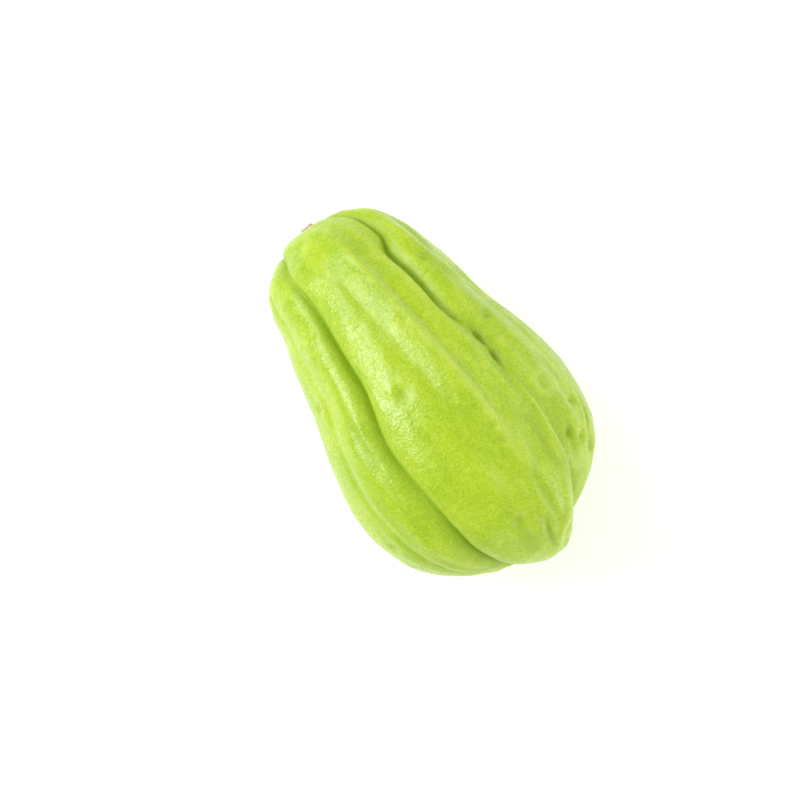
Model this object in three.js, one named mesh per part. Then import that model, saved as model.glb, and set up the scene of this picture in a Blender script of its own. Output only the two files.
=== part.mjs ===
// A chayote squash lying on its side, with the dry remnant of its stalk.
// Millimetres. +X runs from the stalk end to the blossom end, +Z is up, and the floor is z = 0.
import * as THREE from 'three';

// ---- driving dimensions ----
const LENGTH = 134;                 // pole to pole, before the furrows draw the poles in
const MIDDLE_RADIUS = 40;           // sets how soon the surface turns toward the ends
const CENTRE = [67.01, -1.56];      // middle of the fruit in x and y, moved to the origin
const FLOOR = -31.8;                // height of the cut that leaves two small flat spots to rest on
const ROWS = 75;                    // rings of the mesh from pole to pole
const STRIPS = 9;                   // mesh strips between one furrow and the next
const LIP_RISE = 0.8;               // distance in which a furrow's edge rises to its full height
const LIP_REACH = 5;                // distance in which it falls away again
const MOUTH = { half: 10, depth: 5.5, width: 2.4 };    // cleft across the blossom end
const DIMPLE = { depth: 2.2, width: 4.2 };             // hollow round the stalk
const STALK_RINGS = [[1.1, 0.5], [1.8, 0.7], [2.2, 1.05], [2.2, 1.4], [1.9, 1.75], [1.2, 1.85],
  [0.6, 1.75]];                      // radius and height of each ring of the remnant
const STALK_ENDS = [0.45, 1.7];     // height of its hidden base and of its broken face
const STALK_SIDES = 16;

// ---- fullness: [place along the length 0 to 1, half-width in mm before it narrows to the poles] ----
const LEFT = [[0, 58], [0.05, 49], [0.09, 45.8], [0.16, 44.2], [0.23, 39], [0.28, 35], [0.34, 34.6],
  [0.42, 35.5], [0.5, 39.5], [0.6, 45.2], [0.72, 49], [0.8, 46], [0.88, 39.5], [1, 35]];
const RIGHT = [[0, 42], [0.08, 44], [0.16, 42.8], [0.28, 38.4], [0.42, 35.4], [0.5, 38.3],
  [0.6, 41.8], [0.72, 43.8], [0.79, 38.6], [0.86, 31], [1, 27]];
const TOP = [[0, 48], [0.08, 41.5], [0.16, 36.5], [0.28, 34.5], [0.5, 35.5], [0.65, 38], [0.78, 41],
  [0.88, 40.6], [1, 40]];
const BOTTOM = [[0, 48], [0.08, 45], [0.16, 39], [0.28, 33], [0.5, 34], [0.7, 36.5], [0.82, 35],
  [0.92, 30], [1, 28]];
const LEAN = [[0, 0.36], [0.1, 0.28], [0.3, 0.16], [0.7, 0.18], [1, 0.26]];   // how far the ends tip
const SPINE = [[0, 8], [0.12, 4], [0.3, 0], [0.7, 0], [1, -3]];               // height of the core line

// ---- furrows, in order round the fruit ----
// path: degrees from the top toward +Y; valley and slit: depth; lip: how far the +Y side stands up;
// spread: how far the valley reaches to the -Y and the +Y side; narrow: how far the slit does;
// round: rounding of the bottom
const FURROWS = [
  {
    path: [[0, -180], [0.25, -184], [0.5, -181], [0.75, -176], [1, -180]],
    valley: [[0, 0.15], [0.03, 0.55], [0.06, 1.2], [0.13, 2.6], [0.3, 2.8], [0.7, 2.4], [0.85, 2.8],
      [0.93, 2.4], [1, 1.1]],
    slit: [[0, 0], [0.05, 0.5], [0.13, 1.8], [0.3, 1.8], [0.5, 1.2], [0.65, 1.2], [0.8, 1.8],
      [0.93, 1.6], [1, 0.3]],
    lip: [[0, 0], [0.5, 0.3], [1, 0]],
    spread: [8, 8], narrow: [2, 2], round: 0.35,
  },
  {
    path: [[0, -162], [0.1, -150], [0.3, -124], [0.5, -119], [0.75, -122], [1, -142]],
    valley: [[0, 0.2], [0.05, 0.3], [0.15, 1.4], [0.3, 1.4], [0.5, 1.2], [0.7, 1.4], [0.85, 1.8],
      [0.95, 1.4], [1, 0.3]],
    slit: [[0, 0], [0.15, 0.4], [0.3, 0.2], [0.5, 0], [0.7, 0.3], [0.85, 0.6], [1, 0]],
    lip: [[0, 0], [1, 0]],
    spread: [6, 6], narrow: [1.8, 1.8], round: 0.35,
  },
  {
    path: [[0, -140], [0.05, -136], [0.1, -112], [0.2, -83], [0.26, -73], [0.35, -68], [0.42, -64],
      [0.5, -66], [0.58, -66], [0.65, -64], [0.74, -68], [0.85, -80], [1, -112]],
    valley: [[0, 0.15], [0.03, 0.55], [0.06, 0.8], [0.13, 1.6], [0.3, 0.9], [0.5, 0.7], [0.7, 0.8],
      [0.85, 1.8], [0.93, 2], [1, 1.1]],
    slit: [[0, 0], [0.05, 0.3], [0.15, 0.8], [0.3, 0.1], [0.45, 0.2], [0.55, 0.6], [0.7, 0.6],
      [0.8, 0.7], [0.93, 1.3], [1, 0.3]],
    lip: [[0, 0], [0.5, -0.2], [1, 0]],
    spread: [6, 6], narrow: [1.5, 1.5], round: 0.4,
  },
  {
    path: [[0, -112], [0.05, -112], [0.075, -104], [0.1, -72], [0.14, -53], [0.21, -39.5],
      [0.29, -36.5], [0.38, -35.5], [0.44, -35], [0.52, -38], [0.6, -35.5], [0.65, -35], [0.7, -37],
      [0.75, -41], [0.8, -46], [0.87, -55], [1, -75]],
    valley: [[0, 0.15], [0.03, 0.55], [0.07, 1.7], [0.11, 2.2], [0.16, 1.5], [0.22, 1.1],
      [0.3, 1.7], [0.4, 2], [0.5, 1.6], [0.65, 1.3], [0.8, 3], [0.93, 2.8], [1, 1.1]],
    slit: [[0, 0], [0.05, 0.7], [0.12, 1.2], [0.2, 0.8], [0.27, 1.3], [0.35, 1.8], [0.5, 1.5],
      [0.62, 0.9], [0.72, 1.7], [0.8, 2.4], [0.93, 1.8], [1, 0.3]],
    lip: [[0, 0], [0.12, 0.4], [0.22, 0.3], [0.4, 0.7], [0.85, 0.9], [1, 0]],
    spread: [5.2, 4.5], narrow: [1.6, 0.8], round: 0.3,
  },
  {
    path: [[0, -9], [0.27, -8], [0.36, -5.5], [0.42, -3.5], [0.48, -2.5], [0.54, -0.5], [0.6, 1],
      [0.66, 3], [0.72, 4], [1, 4]],
    valley: [[0, 0], [0.18, 0], [0.28, 1.2], [0.4, 1.6], [0.5, 1.3], [0.6, 1.4], [0.7, 1], [0.8, 0.1],
      [0.86, 0], [1, 0]],
    slit: [[0, 0], [1, 0]],
    lip: [[0, 0], [1, 0]],
    spread: [4, 6], narrow: [1, 1], round: 1.4,
  },
  {
    path: [[0, 72], [0.1, 55], [0.17, 44], [0.23, 38], [0.265, 31.5], [0.33, 30.5], [0.42, 29.5],
      [0.455, 33], [0.49, 32.5], [0.54, 31], [0.6, 31], [0.66, 31], [0.72, 33], [0.78, 38],
      [0.86, 50], [1, 72]],
    valley: [[0, 0.15], [0.03, 0.55], [0.06, 1.2], [0.13, 1.4], [0.3, 1.3], [0.42, 1], [0.5, 0.9],
      [0.6, 1], [0.7, 1.9], [0.8, 3.2], [0.93, 2.8], [1, 1.1]],
    slit: [[0, 0], [0.05, 0.5], [0.12, 1.6], [0.2, 1.9], [0.33, 1.7], [0.39, 1.1], [0.43, 0.8],
      [0.445, 0.3], [0.47, 1.7], [0.492, 0.7], [0.51, 1.5], [0.535, 0.3], [0.62, 0], [0.7, 0.4],
      [0.8, 1.8], [0.93, 1.8], [1, 0.3]],
    lip: [[0, 0], [0.15, -0.1], [0.4, -0.4], [0.6, -0.3], [0.7, -0.7], [0.8, -1.6], [0.88, -1.6],
      [1, 0]],
    spread: [3.2, 6], narrow: [0.9, 1], round: 0.3,
  },
  {
    path: [[0, 108], [0.2, 88], [0.33, 76], [0.44, 72], [0.55, 72], [0.65, 70], [0.75, 70],
      [0.87, 82], [1, 110]],
    valley: [[0, 0.15], [0.03, 0.55], [0.06, 0.8], [0.13, 1.8], [0.3, 1.4], [0.5, 1.2], [0.7, 1.2],
      [0.85, 2], [0.93, 2.2], [1, 1.1]],
    slit: [[0, 0], [0.05, 0.3], [0.15, 0.9], [0.3, 0.6], [0.65, 0.6], [0.8, 1], [0.93, 1.4],
      [1, 0.3]],
    lip: [[0, 0], [0.5, -0.4], [1, 0]],
    spread: [6, 6], narrow: [1.6, 1.6], round: 0.35,
  },
  {
    path: [[0, 142], [0.3, 126], [0.5, 118], [0.75, 126], [1, 142]],
    valley: [[0, 0.2], [0.05, 0.3], [0.15, 1.4], [0.3, 1.6], [0.5, 1], [0.7, 1.2], [0.85, 1.8],
      [0.95, 1.4], [1, 0.3]],
    slit: [[0, 0], [0.15, 0.4], [0.3, 0.3], [0.5, 0], [0.7, 0.3], [0.85, 0.6], [1, 0]],
    lip: [[0, 0], [1, 0]],
    spread: [6, 6], narrow: [1.8, 1.8], round: 0.35,
  },
];

// ---- ridges that run along the lobes ----
// path: degrees, as above; height in mm; spread: how far it reaches to the -Y and the +Y side
const RIDGES = [
  {
    path: [[0, -95], [0.1, -70], [0.2, -47.5], [0.3, -43.5], [0.42, -42], [0.5, -44.5],
      [0.58, -44], [0.7, -51], [0.85, -66], [1, -95]],
    height: [[0, 0], [0.1, 0], [0.2, 0.9], [0.35, 1.7], [0.5, 1.6], [0.6, 1.1], [0.75, 0.5], [1, 0]],
    spread: [10, 3.5],
  },
  {
    path: [[0, -30], [0.15, -19], [0.2, -15.5], [0.3, -15], [0.4, -14], [0.48, -15], [0.56, -13],
      [1, -14]],
    height: [[0, 0], [0.1, 0], [0.2, 0.9], [0.4, 0.8], [0.5, 0.6], [0.62, 0.2], [0.8, 0], [1, 0]],
    spread: [6.5, 4.5],
  },
  {
    path: [[0, 14], [0.2, 9], [0.28, 5], [0.36, 4], [0.42, 5], [0.5, 4.5], [0.58, 3.5], [0.66, 6],
      [1, 10]],
    height: [[0, 0], [0.12, 0.3], [0.22, 1.5], [0.5, 1.6], [0.6, 1.1], [0.72, 0.4], [0.85, 0],
      [1, 0]],
    spread: [5.5, 4],
  },
  {
    path: [[0, 84], [0.1, 68], [0.2, 51.5], [0.3, 45.5], [0.4, 43.5], [0.5, 46], [1, 68]],
    height: [[0, 0], [0.08, 0.7], [0.2, 2.8], [0.34, 2.7], [0.46, 1.1], [0.6, 0.3], [0.8, 0], [1, 0]],
    spread: [5.5, 9.5],
  },
];

// ---- the surface ----

// Smooth curve through [place, value] knots.
function along(knots, t) {
  const last = knots.length - 1;
  let i = 0;
  while (i < last - 1 && t > knots[i + 1][0]) i += 1;
  const secant = (j) => (knots[j + 1][1] - knots[j][1]) / (knots[j + 1][0] - knots[j][0]);
  const slope = (j) => {
    if (j === 0) return secant(0);
    if (j === last) return secant(last - 1);
    return (secant(j - 1) + secant(j)) / 2;
  };
  const step = knots[i + 1][0] - knots[i][0];
  const u = (t - knots[i][0]) / step;
  return (2 * u ** 3 - 3 * u ** 2 + 1) * knots[i][1]
    + (u ** 3 - 2 * u ** 2 + u) * step * slope(i)
    + (3 * u ** 2 - 2 * u ** 3) * knots[i + 1][1]
    + (u ** 3 - u ** 2) * step * slope(i + 1);
}

function pathAngle(line, t) {
  return THREE.MathUtils.degToRad(along(line.path, t));
}

// Distance round the fruit from a furrow or a ridge, positive on its +Y side.
function distance(radius, angle, line, t) {
  return 2 * radius * Math.sin((angle - pathAngle(line, t)) / 2);
}

// Height of the skin over the plain body, in mm, at a place along it, an angle and a radius.
function relief(t, angle, radius, y, z) {
  let height = 0;
  for (const furrow of FURROWS) {
    const across = distance(radius, angle, furrow, t);
    const soft = Math.hypot(across, furrow.round) - furrow.round;
    height -= along(furrow.valley, t) * Math.exp(-soft / furrow.spread[across < 0 ? 0 : 1]);
    height -= along(furrow.slit, t) * Math.exp(-soft / furrow.narrow[across < 0 ? 0 : 1]);
    height += along(furrow.lip, t) * Math.tanh(across / LIP_RISE) * Math.exp(-Math.abs(across) / LIP_REACH);
  }
  for (const ridge of RIDGES) {
    const across = distance(radius, angle, ridge, t);
    height += along(ridge.height, t) * Math.exp(-((across / ridge.spread[across < 0 ? 0 : 1]) ** 2));
  }
  if (t > 0.5) {
    const beyond = Math.max(Math.abs(y) - MOUTH.half, 0);
    height -= MOUTH.depth * Math.exp(-((Math.hypot(beyond, z) / MOUTH.width) ** 1.2));
  } else {
    height -= DIMPLE.depth * Math.exp(-((radius / DIMPLE.width) ** 2));
  }
  return height;
}

// The direction in which the relief is raised: out of the fruit, tipped with its ends.
function outward(t, angle) {
  const end = -Math.cos(Math.PI * t) / (LENGTH / 2);
  const side = Math.sin(Math.PI * t) / MIDDLE_RADIUS;
  const flat = Math.hypot(end, side);
  const x = end / flat;
  const tipped = side * Math.cos(angle) / flat - along(LEAN, t) * x;
  return new THREE.Vector3(x, side * Math.sin(angle) / flat, tipped).normalize();
}

function skin(t, angle) {
  const ring = Math.sin(Math.PI * t);
  const sine = Math.sin(angle);
  const cosine = Math.cos(angle);
  const y = ring * along(sine < 0 ? LEFT : RIGHT, t) * sine;
  const z = ring * along(cosine > 0 ? TOP : BOTTOM, t) * cosine;
  const x = (LENGTH / 2) * (1 - Math.cos(Math.PI * t)) + along(LEAN, t) * z;
  const point = new THREE.Vector3(x, y, z);
  point.addScaledVector(outward(t, angle), relief(t, angle, Math.hypot(y, z), y, z));
  point.z = Math.max(point.z + along(SPINE, t), FLOOR) - FLOOR;
  point.x -= CENTRE[0];
  point.y -= CENTRE[1];
  return point;
}

// ---- meshes ----

// A closed body from a first point, rings of points and a last point.
function closedBody(first, rings, last) {
  const count = rings[0].length;
  const positions = [first, ...rings.flat(), last].flatMap((point) => [point.x, point.y, point.z]);
  const end = rings.length * count + 1;
  const index = [];
  for (let j = 0; j < count; j += 1) {
    const next = (j + 1) % count;
    index.push(0, 1 + j, 1 + next);
    for (let i = 0; i < rings.length - 1; i += 1) {
      const a = 1 + i * count + j;
      const b = 1 + i * count + next;
      index.push(a, a + count, b, b, a + count, b + count);
    }
    index.push(end, end - count + next, end - count + j);
  }
  const geometry = new THREE.BufferGeometry();
  geometry.setAttribute('position', new THREE.Float32BufferAttribute(positions, 3));
  geometry.setIndex(index);
  geometry.computeVertexNormals();
  return geometry;
}

// One ring of the fruit: its strips crowd toward the furrows, and a column follows each furrow.
function fruitRing(t) {
  const ring = [];
  for (let i = 0; i < FURROWS.length; i += 1) {
    const from = pathAngle(FURROWS[i], t);
    const next = FURROWS[(i + 1) % FURROWS.length];
    const to = pathAngle(next, t) + (i + 1 === FURROWS.length ? 2 * Math.PI : 0);
    for (let j = 0; j < STRIPS; j += 1) {
      const share = (1 - Math.cos(Math.PI * j / STRIPS)) / 2;
      ring.push(skin(t, from + (to - from) * (0.75 * share + 0.25 * j / STRIPS)));
    }
  }
  return ring;
}

function fruit() {
  const rings = [];
  for (let i = 1; i < ROWS + 1; i += 1) rings.push(fruitRing(i / (ROWS + 1)));
  return closedBody(skin(0, 0), rings, skin(1, 0));
}

// The stalk remnant stands in the dimple, square to the skin there.
function stalk() {
  const foot = skin(0, 0);
  const axis = outward(0, 0);
  const side = new THREE.Vector3(0, 1, 0);
  const up = new THREE.Vector3().crossVectors(side, axis);
  const at = (radius, height, angle) => foot.clone()
    .addScaledVector(axis, height)
    .addScaledVector(side, radius * Math.cos(angle))
    .addScaledVector(up, radius * Math.sin(angle));
  const rings = STALK_RINGS.map(([radius, height]) => {
    const ring = [];
    for (let j = 0; j < STALK_SIDES; j += 1) {
      const angle = 2 * Math.PI * j / STALK_SIDES;
      ring.push(at(radius * (1 + 0.08 * Math.cos(3 * angle + 0.7)), height, angle));
    }
    return ring;
  });
  return closedBody(at(0, STALK_ENDS[0], 0), rings, at(0, STALK_ENDS[1], 0));
}

function node(name, geometry, colour, roughness) {
  const mesh = new THREE.Mesh(geometry, new THREE.MeshStandardMaterial({ color: colour, roughness }));
  mesh.name = name;
  return mesh;
}

const chayote = new THREE.Group();
chayote.name = 'chayote_squash';
chayote.add(node('squash_body', fruit(), 0xb3d140, 0.45));
chayote.add(node('stalk_stub', stalk(), 0xa88a5e, 0.9));

export default chayote;
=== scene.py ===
"""A chayote squash on a white table: the fruit's skin and its stalk remnant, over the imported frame.

Lengths in the shape section are millimetres; Blender objects are in metres.
"""
import math

import bpy
import numpy as np
from mathutils import Matrix, Vector


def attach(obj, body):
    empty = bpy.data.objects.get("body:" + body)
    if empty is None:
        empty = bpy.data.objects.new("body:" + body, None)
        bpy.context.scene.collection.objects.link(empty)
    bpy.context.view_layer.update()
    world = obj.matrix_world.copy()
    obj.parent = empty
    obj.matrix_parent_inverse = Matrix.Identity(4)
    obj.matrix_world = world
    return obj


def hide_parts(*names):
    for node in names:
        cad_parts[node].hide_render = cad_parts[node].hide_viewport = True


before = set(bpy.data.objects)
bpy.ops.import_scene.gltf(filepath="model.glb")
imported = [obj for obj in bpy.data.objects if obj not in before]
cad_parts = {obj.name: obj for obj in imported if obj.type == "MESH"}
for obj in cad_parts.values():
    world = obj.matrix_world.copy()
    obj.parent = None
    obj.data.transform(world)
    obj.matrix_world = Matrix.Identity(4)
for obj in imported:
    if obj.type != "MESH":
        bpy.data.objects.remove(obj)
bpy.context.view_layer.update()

MM = 0.001

# ---- shape: the same named values as the solids ----
LENGTH = 134.0              # pole to pole, before the furrows draw the poles in
MIDDLE_RADIUS = 40.0        # sets how soon the surface turns toward the ends
CENTRE = (67.01, -1.56)     # middle of the fruit in x and y, moved to the origin
FLOOR = -31.8               # height of the cut that leaves two small flat spots to rest on
LIP_RISE = 0.8              # distance in which a furrow's edge rises to its full height
LIP_REACH = 5.0             # distance in which it falls away again
MOUTH = {"half": 10.0, "depth": 5.5, "width": 2.4}    # cleft across the blossom end
DIMPLE = {"depth": 2.2, "width": 4.2}                 # hollow round the stalk

# fullness: [place along the length 0 to 1, half-width before it narrows to the poles]
LEFT = [[0, 58], [0.05, 49], [0.09, 45.8], [0.16, 44.2], [0.23, 39], [0.28, 35], [0.34, 34.6],
        [0.42, 35.5], [0.5, 39.5], [0.6, 45.2], [0.72, 49], [0.8, 46], [0.88, 39.5], [1, 35]]
RIGHT = [[0, 42], [0.08, 44], [0.16, 42.8], [0.28, 38.4], [0.42, 35.4], [0.5, 38.3], [0.6, 41.8],
         [0.72, 43.8], [0.79, 38.6], [0.86, 31], [1, 27]]
TOP = [[0, 48], [0.08, 41.5], [0.16, 36.5], [0.28, 34.5], [0.5, 35.5], [0.65, 38], [0.78, 41],
       [0.88, 40.6], [1, 40]]
BOTTOM = [[0, 48], [0.08, 45], [0.16, 39], [0.28, 33], [0.5, 34], [0.7, 36.5], [0.82, 35],
          [0.92, 30], [1, 28]]
# how far a ring leans toward +X for each mm of height
LEAN = [[0, 0.36], [0.1, 0.28], [0.3, 0.16], [0.7, 0.18], [1, 0.26]]
# height of the middle line
SPINE = [[0, 8], [0.12, 4], [0.3, 0], [0.7, 0], [1, -3]]

# furrows, in order round the fruit
# path: degrees from the top toward +Y; valley and slit: depth; lip: how far the +Y side stands up;
# spread: how far the valley reaches to the -Y and the +Y side; narrow: how far the slit does;
# round: rounding of the bottom
FURROWS = [
    {
        "path": [[0, -180], [0.25, -184], [0.5, -181], [0.75, -176], [1, -180]],
        "valley": [[0, 0.15], [0.03, 0.55], [0.06, 1.2], [0.13, 2.6], [0.3, 2.8], [0.7, 2.4],
                   [0.85, 2.8], [0.93, 2.4], [1, 1.1]],
        "slit": [[0, 0], [0.05, 0.5], [0.13, 1.8], [0.3, 1.8], [0.5, 1.2], [0.65, 1.2], [0.8, 1.8],
                 [0.93, 1.6], [1, 0.3]],
        "lip": [[0, 0], [0.5, 0.3], [1, 0]],
        "spread": (8, 8), "narrow": (2, 2), "round": 0.35,
    },
    {
        "path": [[0, -162], [0.1, -150], [0.3, -124], [0.5, -119], [0.75, -122], [1, -142]],
        "valley": [[0, 0.2], [0.05, 0.3], [0.15, 1.4], [0.3, 1.4], [0.5, 1.2], [0.7, 1.4],
                   [0.85, 1.8], [0.95, 1.4], [1, 0.3]],
        "slit": [[0, 0], [0.15, 0.4], [0.3, 0.2], [0.5, 0], [0.7, 0.3], [0.85, 0.6], [1, 0]],
        "lip": [[0, 0], [1, 0]],
        "spread": (6, 6), "narrow": (1.8, 1.8), "round": 0.35,
    },
    {
        "path": [[0, -140], [0.05, -136], [0.1, -112], [0.2, -83], [0.26, -73], [0.35, -68],
                 [0.42, -64], [0.5, -66], [0.58, -66], [0.65, -64], [0.74, -68], [0.85, -80],
                 [1, -112]],
        "valley": [[0, 0.15], [0.03, 0.55], [0.06, 0.8], [0.13, 1.6], [0.3, 0.9], [0.5, 0.7],
                   [0.7, 0.8], [0.85, 1.8], [0.93, 2], [1, 1.1]],
        "slit": [[0, 0], [0.05, 0.3], [0.15, 0.8], [0.3, 0.1], [0.45, 0.2], [0.55, 0.6], [0.7, 0.6],
                 [0.8, 0.7], [0.93, 1.3], [1, 0.3]],
        "lip": [[0, 0], [0.5, -0.2], [1, 0]],
        "spread": (6, 6), "narrow": (1.5, 1.5), "round": 0.4,
    },
    {
        "path": [[0, -112], [0.05, -112], [0.075, -104], [0.1, -72], [0.14, -53], [0.21, -39.5],
                 [0.29, -36.5], [0.38, -35.5], [0.44, -35], [0.52, -38], [0.6, -35.5], [0.65, -35],
                 [0.7, -37], [0.75, -41], [0.8, -46], [0.87, -55], [1, -75]],
        "valley": [[0, 0.15], [0.03, 0.55], [0.07, 1.7], [0.11, 2.2], [0.16, 1.5], [0.22, 1.1],
                   [0.3, 1.7], [0.4, 2], [0.5, 1.6], [0.65, 1.3], [0.8, 3], [0.93, 2.8], [1, 1.1]],
        "slit": [[0, 0], [0.05, 0.7], [0.12, 1.2], [0.2, 0.8], [0.27, 1.3], [0.35, 1.8], [0.5, 1.5],
                 [0.62, 0.9], [0.72, 1.7], [0.8, 2.4], [0.93, 1.8], [1, 0.3]],
        "lip": [[0, 0], [0.12, 0.4], [0.22, 0.3], [0.4, 0.7], [0.85, 0.9], [1, 0]],
        "spread": (5.2, 4.5), "narrow": (1.6, 0.8), "round": 0.3,
    },
    {
        "path": [[0, -9], [0.27, -8], [0.36, -5.5], [0.42, -3.5], [0.48, -2.5], [0.54, -0.5],
                 [0.6, 1], [0.66, 3], [0.72, 4], [1, 4]],
        "valley": [[0, 0], [0.18, 0], [0.28, 1.2], [0.4, 1.6], [0.5, 1.3], [0.6, 1.4], [0.7, 1],
                   [0.8, 0.1], [0.86, 0], [1, 0]],
        "slit": [[0, 0], [1, 0]],
        "lip": [[0, 0], [1, 0]],
        "spread": (4, 6), "narrow": (1, 1), "round": 1.4,
    },
    {
        "path": [[0, 72], [0.1, 55], [0.17, 44], [0.23, 38], [0.265, 31.5], [0.33, 30.5],
                 [0.42, 29.5], [0.455, 33], [0.49, 32.5], [0.54, 31], [0.6, 31], [0.66, 31],
                 [0.72, 33], [0.78, 38], [0.86, 50], [1, 72]],
        "valley": [[0, 0.15], [0.03, 0.55], [0.06, 1.2], [0.13, 1.4], [0.3, 1.3], [0.42, 1],
                   [0.5, 0.9], [0.6, 1], [0.7, 1.9], [0.8, 3.2], [0.93, 2.8], [1, 1.1]],
        "slit": [[0, 0], [0.05, 0.5], [0.12, 1.6], [0.2, 1.9], [0.33, 1.7], [0.39, 1.1],
                 [0.43, 0.8], [0.445, 0.3], [0.47, 1.7], [0.492, 0.7], [0.51, 1.5],
                 [0.535, 0.3], [0.62, 0], [0.7, 0.4], [0.8, 1.8], [0.93, 1.8], [1, 0.3]],
        "lip": [[0, 0], [0.15, -0.1], [0.4, -0.4], [0.6, -0.3], [0.7, -0.7], [0.8, -1.6],
                [0.88, -1.6], [1, 0]],
        "spread": (3.2, 6), "narrow": (0.9, 1), "round": 0.3,
    },
    {
        "path": [[0, 108], [0.2, 88], [0.33, 76], [0.44, 72], [0.55, 72], [0.65, 70], [0.75, 70],
                 [0.87, 82], [1, 110]],
        "valley": [[0, 0.15], [0.03, 0.55], [0.06, 0.8], [0.13, 1.8], [0.3, 1.4], [0.5, 1.2],
                   [0.7, 1.2], [0.85, 2], [0.93, 2.2], [1, 1.1]],
        "slit": [[0, 0], [0.05, 0.3], [0.15, 0.9], [0.3, 0.6], [0.65, 0.6], [0.8, 1], [0.93, 1.4],
                 [1, 0.3]],
        "lip": [[0, 0], [0.5, -0.4], [1, 0]],
        "spread": (6, 6), "narrow": (1.6, 1.6), "round": 0.35,
    },
    {
        "path": [[0, 142], [0.3, 126], [0.5, 118], [0.75, 126], [1, 142]],
        "valley": [[0, 0.2], [0.05, 0.3], [0.15, 1.4], [0.3, 1.6], [0.5, 1], [0.7, 1.2],
                   [0.85, 1.8], [0.95, 1.4], [1, 0.3]],
        "slit": [[0, 0], [0.15, 0.4], [0.3, 0.3], [0.5, 0], [0.7, 0.3], [0.85, 0.6], [1, 0]],
        "lip": [[0, 0], [1, 0]],
        "spread": (6, 6), "narrow": (1.8, 1.8), "round": 0.35,
    },
]

# ridges along the lobes; path: degrees, as above; height in mm; spread as above
RIDGES = [
    {
        "path": [[0, -95], [0.1, -70], [0.2, -47.5], [0.3, -43.5], [0.42, -42], [0.5, -44.5],
                 [0.58, -44], [0.7, -51], [0.85, -66], [1, -95]],
        "height": [[0, 0], [0.1, 0], [0.2, 0.9], [0.35, 1.7], [0.5, 1.6], [0.6, 1.1], [0.75, 0.5],
                   [1, 0]],
        "spread": (10, 3.5),
    },
    {
        "path": [[0, -30], [0.15, -19], [0.2, -15.5], [0.3, -15], [0.4, -14], [0.48, -15],
                 [0.56, -13], [1, -14]],
        "height": [[0, 0], [0.1, 0], [0.2, 0.9], [0.4, 0.8], [0.5, 0.6], [0.62, 0.2], [0.8, 0],
                   [1, 0]],
        "spread": (6.5, 4.5),
    },
    {
        "path": [[0, 14], [0.2, 9], [0.28, 5], [0.36, 4], [0.42, 5], [0.5, 4.5], [0.58, 3.5],
                 [0.66, 6], [1, 10]],
        "height": [[0, 0], [0.12, 0.3], [0.22, 1.5], [0.5, 1.6], [0.6, 1.1], [0.72, 0.4], [0.85, 0],
                   [1, 0]],
        "spread": (5.5, 4),
    },
    {
        "path": [[0, 84], [0.1, 68], [0.2, 51.5], [0.3, 45.5], [0.4, 43.5], [0.5, 46], [1, 68]],
        "height": [[0, 0], [0.08, 0.7], [0.2, 2.8], [0.34, 2.7], [0.46, 1.1], [0.6, 0.3], [0.8, 0],
                   [1, 0]],
        "spread": (5.5, 9.5),
    },
]


def along(knots, t):
    """Smooth curve through [place, value] knots."""
    knots = np.array(knots, float)
    places, values = knots[:, 0], knots[:, 1]
    secants = np.diff(values) / np.diff(places)
    slopes = np.concatenate([secants[:1], (secants[1:] + secants[:-1]) / 2, secants[-1:]])
    i = np.clip(np.searchsorted(places, t, side="left") - 1, 0, len(places) - 2)
    step = places[i + 1] - places[i]
    u = (t - places[i]) / step
    return ((2 * u**3 - 3 * u**2 + 1) * values[i] + (u**3 - 2 * u**2 + u) * step * slopes[i]
            + (3 * u**2 - 2 * u**3) * values[i + 1] + (u**3 - u**2) * step * slopes[i + 1])


def across(t, angle, radius, path):
    """Distance in mm round the fruit from a line along it."""
    return 2 * radius * np.sin((angle - np.radians(along(path, t))) / 2)


def relief(t, angle, radius, y, z):
    """Height of the skin over the plain body."""
    height = np.zeros_like(t)
    for furrow in FURROWS:
        d = across(t, angle, radius, furrow["path"])
        soft = np.hypot(d, furrow["round"]) - furrow["round"]
        height -= along(furrow["valley"], t) * np.exp(-soft / np.where(d < 0, *furrow["spread"]))
        height -= along(furrow["slit"], t) * np.exp(-soft / np.where(d < 0, *furrow["narrow"]))
        height += along(furrow["lip"], t) * np.tanh(d / LIP_RISE) * np.exp(-np.abs(d) / LIP_REACH)
    for ridge in RIDGES:
        d = across(t, angle, radius, ridge["path"])
        height += along(ridge["height"], t) * np.exp(-(d / np.where(d < 0, *ridge["spread"]))**2)
    beyond = np.maximum(np.abs(y) - MOUTH["half"], 0)
    mouth = MOUTH["depth"] * np.exp(-(np.hypot(beyond, z) / MOUTH["width"])**1.2)
    dimple = DIMPLE["depth"] * np.exp(-(radius / DIMPLE["width"])**2)
    return height - np.where(t > 0.5, mouth, dimple)


def outward(t, angle):
    """The direction in which the relief is raised: out of the fruit, tipped with its ends."""
    end = -np.cos(np.pi * t) / (LENGTH / 2)
    side = np.sin(np.pi * t) / MIDDLE_RADIUS
    flat = np.hypot(end, side)
    x, side = end / flat, side / flat
    way = np.stack([x, side * np.sin(angle), side * np.cos(angle) - along(LEAN, t) * x], -1)
    return way / np.linalg.norm(way, axis=-1, keepdims=True)


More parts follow.
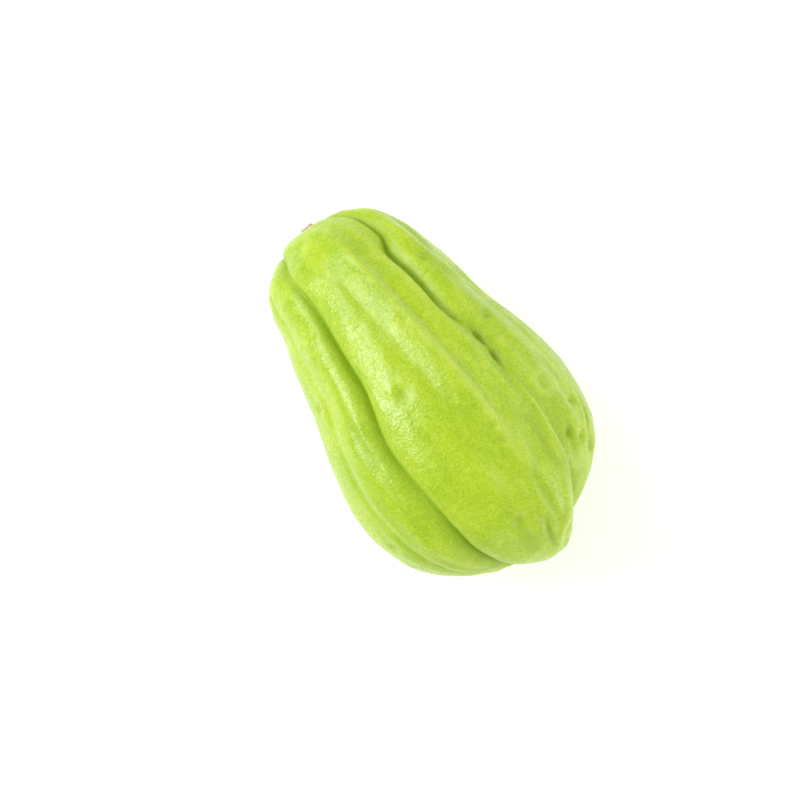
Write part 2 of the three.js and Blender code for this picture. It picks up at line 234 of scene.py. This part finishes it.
def skin(t, angle, extra=None):
    """Points of the skin in mm in the frame; extra(t, angle, radius, point) adds finer relief."""
    ring, sine, cosine = np.sin(np.pi * t), np.sin(angle), np.cos(angle)
    y = ring * np.where(sine < 0, along(LEFT, t), along(RIGHT, t)) * sine
    z = ring * np.where(cosine > 0, along(TOP, t), along(BOTTOM, t)) * cosine
    x = LENGTH / 2 * (1 - np.cos(np.pi * t)) + along(LEAN, t) * z
    radius = np.hypot(y, z)
    point = np.stack([x, y, z], -1)
    height = relief(t, angle, radius, y, z)
    if extra is not None:
        height = height + extra(t, angle, radius, point)
    point = point + outward(t, angle) * height[..., None]
    point[..., 2] = np.maximum(point[..., 2] + along(SPINE, t), FLOOR) - FLOOR
    point[..., 0] -= CENTRE[0]
    point[..., 1] -= CENTRE[1]
    return point


# ---- finer relief, only for the eye ----
BESIDE_CROWN = (FURROWS[3], FURROWS[5])    # the furrows to the left and right of the middle lobe
BEYOND_END = 1.001          # a place past the blossom end, so that a path of two knots reaches it

# folds and creases; path in degrees, height in mm (below 0 is a crease), width in mm
FINE = [
    # a sharper bottom for the furrow left of the crown
    {"path": BESIDE_CROWN[0]["path"],
     "height": [[0, 0], [0.14, 0], [0.25, -0.35], [0.5, -0.6], [0.68, -0.5], [0.78, 0], [1, 0]],
     "width": 0.9},
    # and for the one right of it, which is broken into short lines and ends in two notches
    {"path": BESIDE_CROWN[1]["path"],
     "height": [[0, 0], [0.14, 0], [0.2, -0.2], [0.39, -0.3], [0.42, -0.1], [0.43, -0.4],
                [0.445, 0], [0.462, 0], [0.474, -1.1], [0.487, -0.9], [0.495, -0.1], [0.51, -0.8],
                [0.53, 0], [1, 0]],
     "width": 0.9},
    # second fold beside the upper right furrow
    {"path": [[0, 30], [0.3, 24], [0.6, 22], [1, 30]],
     "height": [[0, 0], [0.1, 0], [0.2, 0.25], [0.34, 0.3], [0.44, 0], [1, 0]], "width": 2.6},
    # a pair of folds near the right outline, with a crease between them
    {"path": [[0, 54], [0.384, 54], [0.42, 61], [0.48, 61], [0.62, 61], [0.67, 57], [0.71, 52],
              [1, 60]],
     "height": [[0, 0], [0.3, 0], [0.4, 0.45], [0.66, 0.5], [0.73, 0], [1, 0]], "width": 1.5},
    {"path": [[0, 60], [0.384, 60], [0.42, 67], [0.48, 66], [0.62, 66], [0.67, 62], [0.71, 57],
              [1, 65]],
     "height": [[0, 0], [0.3, 0], [0.38, -0.5], [0.68, -0.6], [0.76, 0], [1, 0]], "width": 1.1},
    {"path": [[0, 66], [0.384, 68], [0.48, 72], [0.62, 71], [0.71, 64], [1, 70]],
     "height": [[0, 0], [0.2, 0], [0.3, 0.4], [0.6, 0.5], [0.76, 0.3], [0.84, 0], [1, 0]],
     "width": 1.6},
    # a wave in the right of the crown, and the ridge that goes on from it to the end
    {"path": [[0, 24.5], [0.649, 24.5], [0.686, 23.8], [0.71, 25.5], [1, 25.5]],
     "height": [[0, 0], [0.6, 0], [0.64, -0.6], [0.69, -0.5], [0.73, 0], [1, 0]], "width": 1.5},
    {"path": [[0, 28], [0.69, 28.5], [0.757, 26], [0.804, 23.5], [0.848, 10], [1, 0]],
     "height": [[0, 0], [0.64, 0], [0.7, 0.6], [0.8, 0.8], [0.86, 0.5], [0.9, 0], [1, 0]],
     "width": 2.0},
    # a crease in the end of the crown
    {"path": [[0, 5], [0.77, 5], [0.823, 0], [0.87, -4], [1, -4]],
     "height": [[0, 0], [0.75, 0], [0.785, -0.6], [0.825, -0.55], [0.87, 0], [1, 0]], "width": 1.3},
    # a fold down the left lobe
    {"path": [[0, -70], [0.3, -60], [0.45, -56], [0.6, -55], [0.75, -60], [1, -80]],
     "height": [[0, 0], [0.36, 0], [0.45, -0.15], [0.6, -0.3], [0.72, 0], [1, 0]], "width": 2.2},
]
# a low swelling that rounds the crest of the left lobe
SWELL = {
    "path": [[0, -60], [0.36, -47], [0.46, -51], [0.51, -53.5], [0.56, -56], [0.64, -61], [1, -80]],
    "height": [[0, 0], [0.34, 0], [0.44, 0.8], [0.54, 0.9], [0.62, 0.5], [0.7, 0], [1, 0]],
    "width": 4.5,
}
# short folds: from t, to t, degrees at the one, degrees at the other, height, width
FOLDS = [
    (0.60, 0.86, 8, 13, -0.6, 1.5),
    (0.58, 0.72, 15, 11, 0.68, 1.6),
    (0.66, 0.90, -9, -14, -0.52, 1.5),
    (0.60, 0.72, -4, -7, 0.6, 1.6),
    (0.70, 0.93, 1, 1, -0.38, 1.2),
    (0.15, 0.34, 50, 44, 0.68, 1.5),
    (0.18, 0.36, 58, 50, -0.75, 1.4),
    (0.36, 0.62, 33, 40, -0.35, 1.5),
    (0.44, 0.58, 37, 41, 0.52, 1.3),
    (0.50, 0.80, 44, 50, 0.52, 2.0),
    (0.62, 0.74, 44, 40, -0.75, 1.2),
    (0.24, 0.44, 40, 48, -0.52, 1.6),
    (0.40, 0.66, -48, -45, -0.38, 1.4),
    (0.66, 0.86, -55, -62, -0.45, 1.5),
    (0.30, 0.60, -98, -92, -0.6, 2.0),
    (0.35, 0.70, 96, 92, -0.6, 2.0),
    (0.40, 0.75, 150, 154, -0.52, 2.0),
    (0.35, 0.70, -152, -150, -0.52, 2.0),
]
# small pits: t, degrees, depth, width
PITS = [
    (0.636, 53, 0.96, 1.6), (0.676, 41, 1.12, 1.5), (0.693, 48, 1.12, 1.7), (0.324, 42, 0.8, 1.4),
    (0.457, 45, 0.8, 1.4), (0.479, -17.5, 0.75, 2.2), (0.747, -8, 0.64, 1.5), (0.592, 8, 0.64, 1.5),
    (0.615, 6.5, 0.48, 1.2), (0.72, 58, 0.8, 1.6), (0.42, -72, 0.64, 1.5), (0.66, -74, 0.8, 1.8),
    (0.55, 96, 0.8, 1.8), (0.38, 134, 0.8, 2.0), (0.62, -140, 0.8, 2.0),
]
RING = (0.586, 42.0, 3.4, 1.7, 0.7)    # a raised ring: t, degrees, radius, width, height
# unevenness: height, distance between bumps, seed, whether it is drawn out along the fruit
UNEVEN = [
    (0.40, 13, 3, True),
    (0.30, 6, 5, True),
    (0.18, 3.2, 8, True),
    (0.06, 1.9, 11, False),
]
DRAWN_OUT = (0.45, 1, 1)    # scale of x, y and z where it is
CALM_RADIUS = 12            # the unevenness fades away toward the poles within this radius
NOISE_CELLS = 32            # the noise repeats after this many bumps


def noise(points, scale, seed):
    """Smooth noise from -1 to 1 with bumps about one scale apart."""
    table = np.random.RandomState(seed).uniform(-1, 1, (NOISE_CELLS,) * 3)
    p = points / scale
    cell = np.floor(p).astype(int)
    f = p - cell
    f = f * f * f * (f * (f * 6 - 15) + 10)    # smooth where cells meet
    value = 0.0
    for i in (0, 1):
        for j in (0, 1):
            for k in (0, 1):
                at = (cell + np.array([i, j, k])) % NOISE_CELLS
                corner = table[at[..., 0], at[..., 1], at[..., 2]]
                weight = ((f[..., 0] if i else 1 - f[..., 0]) * (f[..., 1] if j else 1 - f[..., 1])
                          * (f[..., 2] if k else 1 - f[..., 2]))
                value = value + corner * weight
    return value


def window(t, start, end):
    """Smoothly up to 1 halfway between two places, and 0 outside them."""
    u = np.clip((t - start) / (end - start), 0, 1)
    return np.sin(np.pi * u)**2


def reach(t, angle, radius, place, degrees):
    """Distance in mm over the skin from one place on it."""
    return np.hypot(across(t, angle, radius, [[0, degrees], [BEYOND_END, degrees]]),
                    (t - place) * LENGTH * np.pi / 2 * np.sin(np.pi * place))


def details(t, angle, radius):
    """Height in mm of the folds, creases, pits and the raised ring."""
    height = np.zeros_like(t)
    for line in FINE:
        d = across(t, angle, radius, line["path"])
        height += along(line["height"], t) * np.exp(-(d / line["width"])**2)
    for start, end, a, b, tall, wide in FOLDS:
        d = across(t, angle, radius, [[0, a], [start, a], [end, b], [BEYOND_END, b]])
        height += tall * window(t, start, end) * np.exp(-(d / wide)**2)
    for place, degrees, deep, wide in PITS:
        height -= deep * np.exp(-(reach(t, angle, radius, place, degrees) / wide)**2)
    place, degrees, round_, wide, tall = RING
    height += tall * np.exp(-((reach(t, angle, radius, place, degrees) - round_) / wide)**2)
    return height


def fine_relief(t, angle, radius, point):
    """Height in mm of everything finer than the solids carry."""
    d = across(t, angle, radius, SWELL["path"])
    swell = along(SWELL["height"], t) * np.exp(-(d / SWELL["width"])**2)
    height = details(t, angle, radius) + swell
    calm = np.clip(radius / CALM_RADIUS, 0, 1)
    long = point * np.array(DRAWN_OUT)
    for tall, scale, seed, drawn_out in UNEVEN:
        height += calm * tall * noise(long if drawn_out else point, scale, seed)
    return height


# ---- meshes ----
RINGS = 300                 # rings of points along the fruit
STRIPS = 38                 # strips from one furrow to the next
EVEN_STRIPS = 0.4           # share of their width that is even; the rest crowds them at the furrows
# painted highlight and painted shade: how fast a fold paints a highlight, or a crease paints shade,
# on the skin, per mm of its height
CREASE_SHADE_RATE, FOLD_HIGHLIGHT_RATE = 0.8, 0.7
# painted shade in a furrow's slit and valley: reach in mm, and the depth in mm that shades fully
SLIT_SHADE, VALLEY_SHADE = (2.2, 2.6), (6, 13)
# a painted highlight, a pale patch round the stalk end
STALK_HIGHLIGHT_RADIUS = 6             # radius in mm of the pale patch at the stalk end
# painted shade and painted highlight at the two poles: the blossom end's cleft is shaded, the stalk
# end is lit
POLE_SHADE, POLE_HIGHLIGHT = (0.2, 0.8), (1, 0)    # the tints at the stalk end and the blossom end


def mesh_object(name, points, faces, material):
    mesh = bpy.data.meshes.new(name)
    mesh.from_pydata((points * MM).tolist(), [], faces)
    mesh.materials.append(material)
    mesh.shade_smooth()
    obj = bpy.data.objects.new(name, mesh)
    bpy.context.scene.collection.objects.link(obj)
    return obj


def closed_faces(rings, count):
    """Faces of a closed body: point 0, rings of count points, and a last point."""
    faces = []
    for j in range(count):
        n = (j + 1) % count
        faces.append((0, 1 + j, 1 + n))
        for i in range(rings - 1):
            a, b = 1 + i * count + j, 1 + i * count + n
            faces.append((a, a + count, b + count, b))
        end = rings * count + 1
        faces.append((end, end - count + n, end - count + j))
    return faces


def fruit(material):
    """The fruit, with its rings closed at the poles and its strips laid along the furrows."""
    t = np.arange(1, RINGS + 1) / (RINGS + 1)
    lines = [np.radians(along(f["path"], t)) for f in FURROWS]
    lines.append(lines[0] + 2 * math.pi)
    share = np.arange(STRIPS) / STRIPS
    share = (1 - EVEN_STRIPS) * (1 - np.cos(math.pi * share)) / 2 + EVEN_STRIPS * share
    columns = [a[:, None] + (b - a)[:, None] * share for a, b in zip(lines, lines[1:])]
    angle = np.concatenate(columns, 1)
    place = np.repeat(t[:, None], angle.shape[1], 1)
    body = skin(place, angle, fine_relief).reshape(-1, 3)
    ends = skin(np.array([0.0, 1.0]), np.zeros(2), fine_relief)
    points = np.concatenate([ends[:1], body, ends[1:]])
    obj = mesh_object("chayote_fruit", points, closed_faces(RINGS, angle.shape[1]), material)
    # how far a point is down in a furrow or up on a fold, for painted shade in the furrows, creases
    # and pits and a painted highlight on the folds, the ring and round the stalk
    radius = np.sin(np.pi * place) * MIDDLE_RADIUS
    detail = details(place, angle, radius)
    crease_shade = np.maximum(-detail, 0) * CREASE_SHADE_RATE
    for furrow in FURROWS:
        d = across(place, angle, radius, furrow["path"])
        for part, (near, full) in (("slit", SLIT_SHADE), ("valley", VALLEY_SHADE)):
            crease_shade += along(furrow[part], place) * np.exp(-(d / near)**2) / full
    painted_highlight = np.maximum(detail, 0) * FOLD_HIGHLIGHT_RATE + np.exp(-(radius / STALK_HIGHLIGHT_RADIUS)**2) * (place < 0.5)
    for name, tint, (first, last) in (("crease_shade", crease_shade, POLE_SHADE), ("painted_highlight", painted_highlight, POLE_HIGHLIGHT)):
        tint = np.concatenate([[first], np.clip(tint, 0, 1).ravel(), [last]]).astype(np.float32)
        obj.data.attributes.new(name, "FLOAT", "POINT").data.foreach_set("value", tint)
    return obj


# ---- materials ----
SKIN_DEEP = (0.348, 0.543, 0.001, 1)
SKIN_LIGHT = (0.436, 0.602, 0.003, 1)
BLOOM = (0.53, 0.68, 0.035, 1)
MOTTLE = (0.55, 0.70, 0.03, 1)
FLECK_LIGHT = (0.64, 0.78, 0.07, 1)
FLECK_DARK = (0.24, 0.44, 0.001, 1)
GRAIN_DARK = (0.22, 0.40, 0.001, 1)
# painted highlight: the pale colour laid on raised folds, the raised ring and round the stalk end
FOLD_HIGHLIGHT_COLOUR = (0.62, 0.74, 0.16, 1)
# painted shade: the dark green laid into the furrows, creases and pits
FURROW_SHADE_COLOUR = (0.27, 0.42, 0.001, 1)
STALK_DARK = (0.30, 0.16, 0.10, 1)
STALK_LIGHT = (0.66, 0.50, 0.38, 1)

# what is the same all over a material
SKIN_PLAIN = {"IOR": 1.57, "Subsurface Weight": 0.15, "Subsurface Radius": (0.5, 1.0, 0.1),
              "Subsurface Scale": 0.0015}
STALK_PLAIN = {"Roughness": 0.85}
TABLE_PLAIN = {"Base Color": (0.8, 0.8, 0.8, 1), "Roughness": 0.6, "Emission Color": (1, 1, 1, 1),
               "Emission Strength": 0.39}

# noises in the skin: how each is stretched, scale, detail, roughness, distortion, kind
SKIN_NOISES = {
    "cloud": ("lengthwise", 90, 4, 0.6, 0, "FBM"),
    "bloom": ("lengthwise", 200, 3, 0.6, 0.5, "FBM"),
    "mottle": ("even", 330, 4, 0.65, 0, "FBM"),
    "fleck": ("crosswise", 1150, 3, 0.7, 0, "FBM"),
    "grain": ("even", 2300, 2, 0.6, 0, "FBM"),
    "wrinkle": ("crosswise", 520, 2, 0.5, 0.8, "RIDGED_MULTIFRACTAL"),
    "pebble": ("even", 950, 3, 0.65, 0.3, "FBM"),
}
STRETCH = {"lengthwise": (0.4, 1, 1), "crosswise": (1.7, 1, 1)}    # scale of x, y and z
# colours laid over SKIN_DEEP in order: noise, its value where the colour starts, its value where it
# is full, the share that it then covers, colour
SKIN_LAYERS = [
    ("cloud", 0.36, 0.64, 1, SKIN_LIGHT),
    ("bloom", 0.47, 0.68, 0.5, BLOOM),
    ("mottle", 0.50, 0.72, 0.55, MOTTLE),
    ("fleck", 0.52, 0.75, 0.8, FLECK_LIGHT),
    ("fleck", 0.48, 0.28, 0.8, FLECK_DARK),
    ("grain", 0.50, 0.30, 0.5, GRAIN_DARK),
]
# how much of the skin the painted highlight and the painted shade cover where they are full
HIGHLIGHT_SHARE, SHADE_SHARE = 0.6, 0.85    # how much of the skin a full tint covers
MOTTLE_SPAN = (0.35, 0.65)              # the mottling where the skin is glossiest and dullest
SKIN_ROUGHNESS = (0.21, 0.33)           # its roughness there
FURROW_ROUGHNESS = 0.4                  # added where a furrow's tint is full
WRINKLE_SHARE, PEBBLE_SHARE = 0.7, 0.7  # how much each raises the bump
SKIN_BUMP = (1.0, 0.00019)              # strength, and height in metres
STALK_NOISE = ("FBM", 1500, 4, 0.7)     # kind, scale, detail, roughness
STALK_SPAN = (0.3, 0.7)                 # the noise's values where it is darkest and lightest
STALK_BUMP = (0.6, 0.0002)              # as the skin's


def new_material(name):
    material = bpy.data.materials.new(name)
    material.use_nodes = True
    nodes, links = material.node_tree.nodes, material.node_tree.links
    shader = nodes["Principled BSDF"]
    return material, nodes, links, shader


def add(nodes, kind, **values):
    """A new node with its sockets and its properties set by name."""
    node = nodes.new(kind)
    for key, value in values.items():
        if key in node.inputs:
            node.inputs[key].default_value = value
        else:
            setattr(node, key, value)
    return node


def set_plain(shader, values):
    """Sets uniform values on a shader's own sockets."""
    for name, value in values.items():
        shader.inputs[name].default_value = value


def noise_node(nodes, links, vector, scale, detail, roughness, distortion, kind):
    node = add(nodes, "ShaderNodeTexNoise", noise_type=kind, Scale=scale, Detail=detail,
               Roughness=roughness, Distortion=distortion)
    links.new(vector, node.inputs["Vector"])
    return node.outputs["Fac"]


def ramp(nodes, links, value, low, high, to_low, to_high):
    """Maps low..high to to_low..to_high, smoothly and without passing them."""
    node = add(nodes, "ShaderNodeMapRange", interpolation_type="SMOOTHSTEP")
    ends = {"From Min": low, "From Max": high, "To Min": to_low, "To Max": to_high}
    for name, number in ends.items():
        node.inputs[name].default_value = number
    links.new(value, node.inputs["Value"])
    return node.outputs["Result"]


def maths(nodes, links, operation, a, b):
    node = add(nodes, "ShaderNodeMath", operation=operation)
    for socket, value in zip(node.inputs, (a, b)):
        if isinstance(value, (int, float)):
            socket.default_value = value
        else:
            links.new(value, socket)
    return node.outputs[0]


def blend_colour(nodes, links, share, base, colour):
    """Lays a colour over a base; a Mix node has its colours in sockets 6 and 7 and output 2."""
    node = add(nodes, "ShaderNodeMix", data_type="RGBA")
    links.new(share, node.inputs[0])
    if isinstance(base, tuple):
        node.inputs[6].default_value = base
    else:
        links.new(base, node.inputs[6])
    node.inputs[7].default_value = colour
    return node.outputs[2]


def stretched(nodes, links, vector, scale):
    node = add(nodes, "ShaderNodeMapping")
    node.inputs["Scale"].default_value = scale
    links.new(vector, node.inputs["Vector"])
    return node.outputs[0]


def bump(nodes, links, shader, height, strength, distance):
    node = add(nodes, "ShaderNodeBump", Strength=strength, Distance=distance)
    links.new(height, node.inputs["Height"])
    links.new(node.outputs["Normal"], shader.inputs["Normal"])


def skin_material():
    material, nodes, links, shader = new_material("chayote_skin")
    set_plain(shader, SKIN_PLAIN)
    where = {"even": add(nodes, "ShaderNodeTexCoord").outputs["Object"]}
    for way, scale in STRETCH.items():
        where[way] = stretched(nodes, links, where["even"], scale)
    noises = {name: noise_node(nodes, links, where[way], *values)
              for name, (way, *values) in SKIN_NOISES.items()}
    crease_shade = add(nodes, "ShaderNodeAttribute", attribute_name="crease_shade").outputs["Fac"]
    painted_highlight = add(nodes, "ShaderNodeAttribute", attribute_name="painted_highlight").outputs["Fac"]

    # colour: soft clouds, waxy bloom, mottling, fine flecks, then a painted highlight on the folds,
    # the ring and round the stalk, and painted shade in the furrows, creases and pits
    colour = SKIN_DEEP
    for name, start, full, share, tint in SKIN_LAYERS:
        cover = ramp(nodes, links, noises[name], start, full, 0, share)
        colour = blend_colour(nodes, links, cover, colour, tint)
    for level, share, tint in ((painted_highlight, HIGHLIGHT_SHARE, FOLD_HIGHLIGHT_COLOUR), (crease_shade, SHADE_SHARE, FURROW_SHADE_COLOUR)):
        cover = maths(nodes, links, "MULTIPLY", level, share)
        colour = blend_colour(nodes, links, cover, colour, tint)
    links.new(colour, shader.inputs["Base Color"])

    # gloss: waxy, duller in patches and in the furrows
    furrowed = maths(nodes, links, "MULTIPLY", crease_shade, FURROW_ROUGHNESS)
    patchy = ramp(nodes, links, noises["mottle"], *MOTTLE_SPAN, *SKIN_ROUGHNESS)
    links.new(maths(nodes, links, "ADD", furrowed, patchy), shader.inputs["Roughness"])

    # relief too fine for the mesh: thin wrinkles across the fruit, and pebbles
    wrinkles = maths(nodes, links, "MULTIPLY", noises["wrinkle"], WRINKLE_SHARE)
    pebbles = maths(nodes, links, "MULTIPLY", noises["pebble"], PEBBLE_SHARE)
    bump(nodes, links, shader, maths(nodes, links, "ADD", wrinkles, pebbles), *SKIN_BUMP)
    return material


def stalk_material():
    material, nodes, links, shader = new_material("dry_stalk")
    set_plain(shader, STALK_PLAIN)
    kind, scale, detail, roughness = STALK_NOISE
    where = add(nodes, "ShaderNodeTexCoord").outputs["Object"]
    grain = noise_node(nodes, links, where, scale, detail, roughness, 0, kind)
    tone = add(nodes, "ShaderNodeValToRGB")
    colours = (STALK_DARK, STALK_LIGHT)
    for element, position, colour in zip(tone.color_ramp.elements, STALK_SPAN, colours):
        element.position = position
        element.color = colour
    links.new(grain, tone.inputs["Fac"])
    links.new(tone.outputs[0], shader.inputs["Base Color"])
    bump(nodes, links, shader, grain, *STALK_BUMP)
    return material


def table_material():
    material, _, _, shader = new_material("white_table")
    set_plain(shader, TABLE_PLAIN)
    return material


# ---- stalk remnant, rooted in the dimple ----
# radius and height of each ring, in mm from the bottom of the dimple
STALK_RINGS = [(2.5, -1.2), (2.45, 0.1), (2.4, 0.7), (2.3, 1.1), (2.2, 1.35), (2.0, 1.55),
               (1.7, 1.7), (1.4, 1.7), (1.0, 1.6), (0.55, 1.55)]
STALK_SIDES = 48
STALK_ROOT = -1.4           # height of its lowest point
STALK_TOP = 1.5             # height of the middle of its broken end
RAGGED_FROM = 0.7           # height above which it is ragged
# waves round it: height, how many go round, phase; a rib's height is a share of the radius
RIBS = [(0.07, 3, 0.7), (0.05, 11, 0), (0.03, 17, 2)]
RAGGED = [(0.22, 2, 1), (0.12, 5, 2)]


def waves(turn, middle, parts):
    """The sum of some waves round a ring, about a middle value."""
    value = middle
    for tall, count, phase in parts:
        value = value + tall * np.cos(count * turn + phase)
    return value


def stalk(material):
    foot = skin(np.array([0.0]), np.array([0.0]))[0]
    axis = outward(np.array([0.0]), np.array([0.0]))[0]
    side = np.array([0.0, 1.0, 0.0])
    up = np.cross(side, axis)
    turn = 2 * math.pi * np.arange(STALK_SIDES) / STALK_SIDES
    rays = np.cos(turn)[:, None] * side + np.sin(turn)[:, None] * up
    ribs = waves(turn, 1, RIBS)
    ragged = waves(turn, 0, RAGGED)
    rings = []
    for radius, height in STALK_RINGS:
        lift = height + ragged * max(0.0, height - RAGGED_FROM)
        rings.append(foot + axis * lift[:, None] + rays * (radius * ribs)[:, None])
    points = np.concatenate([[foot + axis * STALK_ROOT], *rings, [foot + axis * STALK_TOP]])
    return mesh_object("dry_stalk_remnant", points, closed_faces(len(rings), STALK_SIDES), material)


fruit_piece = fruit(skin_material())
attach(fruit_piece, "root")
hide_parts("squash_body")

stalk_piece = stalk(stalk_material())
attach(stalk_piece, "root")
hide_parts("stalk_stub")

# ---- table ----
REACH = 12                  # metres from its middle to its sides, so that its edge is out of sight
CORNERS = [(-REACH, -REACH, 0), (REACH, -REACH, 0), (REACH, REACH, 0), (-REACH, REACH, 0)]
table_mesh = bpy.data.meshes.new("table_top")
table_mesh.from_pydata(CORNERS, [], [(0, 1, 2, 3)])
table_mesh.materials.append(table_material())
table_top = bpy.data.objects.new("table_top", table_mesh)
bpy.context.scene.collection.objects.link(table_top)

# ---- camera ----
AZIMUTH, ELEVATION = math.radians(53), math.radians(80)
AIM = Vector((-3.85, -7.32, 30.2)) * MM
DISTANCE = 711 * MM
LENS, SENSOR = 100, 36      # focal length and sensor width in mm
NEAREST = 0.01              # metres from the camera
BACK = Vector((math.sin(AZIMUTH) * math.cos(ELEVATION), -math.cos(AZIMUTH) * math.cos(ELEVATION),
               math.sin(ELEVATION)))
RIGHT_WAY = Vector((math.cos(AZIMUTH), math.sin(AZIMUTH), 0))
UP_WAY = BACK.cross(RIGHT_WAY)

camera = bpy.data.objects.new("camera", bpy.data.cameras.new("camera"))
camera.data.lens = LENS
camera.data.sensor_width = SENSOR
camera.data.clip_start = NEAREST
turn = Matrix((RIGHT_WAY, UP_WAY, BACK)).transposed().to_4x4()
camera.matrix_world = Matrix.Translation(AIM + BACK * DISTANCE) @ turn
bpy.context.scene.collection.objects.link(camera)
bpy.context.scene.camera = camera

# ---- light: a pale room and soft boxes, placed by the camera's directions ----
ROOM_STRENGTH = 0.58        # how bright the pale room is
LIGHT_DISTANCE = 1.0        # metres
# name, direction (right, up and toward the camera), width and height in metres, radiance
SOFT_BOXES = [
    ("key", (-0.79, 0.1, 0.6), 0.32, 0.36, 12.0),
    ("key_top", (-0.42, 0.62, 0.66), 0.22, 0.22, 6.0),
    ("key_high", (-0.58, 0.46, 0.67), 0.25, 0.3, 8.0),
    ("right", (0.8, -0.1, 0.5), 0.6, 0.6, 1.3),
    ("right_back", (0.65, 0.6, 0.45), 0.5, 0.5, 1.4),
    ("front", (0.28, -0.85, 0.45), 0.5, 0.5, 1.1),
    ("low_right", (0.95, -0.25, 0.13), 0.4, 0.3, 4.5),
]

world = bpy.data.worlds.new("pale_room")
world.use_nodes = True
set_plain(world.node_tree.nodes["Background"], {"Color": (1, 1, 1, 1), "Strength": ROOM_STRENGTH})
bpy.context.scene.world = world


def soft_box(name, direction, width, height, radiance):
    """A rectangular light that faces the fruit, as bright as its radiance says."""
    light = bpy.data.lights.new(name, "AREA")
    light.shape = "RECTANGLE"
    light.size, light.size_y = width, height
    light.energy = radiance * math.pi * width * height
    obj = bpy.data.objects.new(name, light)
    way = (RIGHT_WAY * direction[0] + UP_WAY * direction[1] + BACK * direction[2]).normalized()
    obj.location = AIM + way * LIGHT_DISTANCE
    obj.rotation_mode = "QUATERNION"
    obj.rotation_quaternion = way.to_track_quat("Z", "Y")
    bpy.context.scene.collection.objects.link(obj)


for box in SOFT_BOXES:
    soft_box(*box)

bpy.context.scene.view_settings.view_transform = "Standard"
bpy.context.scene.view_settings.look = "None"
